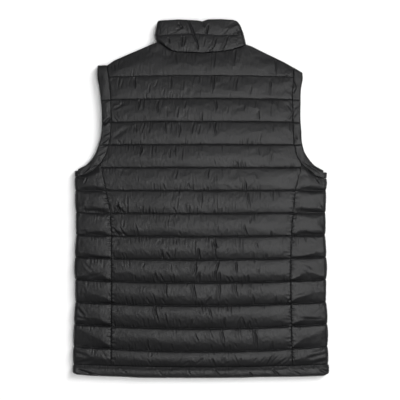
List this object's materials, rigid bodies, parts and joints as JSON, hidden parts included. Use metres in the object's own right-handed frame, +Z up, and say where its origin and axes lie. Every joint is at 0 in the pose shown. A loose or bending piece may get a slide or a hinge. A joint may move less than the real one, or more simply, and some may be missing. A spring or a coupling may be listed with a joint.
{
  "type": "quilted puffer vest",
  "caption": "Sleeveless quilted vest with a stand collar and a zipped front, laid flat with its back up.",
  "frame": {"origin": "centre of the surface that the vest lies on, under the middle of its outline", "axes": "+Z up out of the vest's back, +Y towards the collar, +X towards the wearer's right armhole"},
  "size_m": [0.5523, 0.7713, 0.0255],
  "materials": {
    "shell": "charcoal nylon with a soft sheen",
    "zip_tape": "black woven tape",
    "zip_metal": "black enamelled metal"
  },
  "bodies": {
    "vest": {"back_panel": "shell", "side_panel_left": "shell", "side_panel_right": "shell", "front_left": "shell", "front_right": "shell", "armhole_band_left": "shell", "armhole_band_right": "shell", "collar": "shell", "hem_band": "shell", "zip_tape_left": "zip_tape", "zip_tape_right": "zip_tape", "zip_slider": "zip_metal"},
    "pull_tab": {"zip_pull": "zip_metal"}
  },
  "joints": [
    {"name": "pull_tab_hinge", "type": "hinge", "parent": "vest", "child": "pull_tab", "pos_m": [0, 0.3315, 0.00285], "axis": [1, 0, 0], "range_deg": [0, 175]}
  ]
}
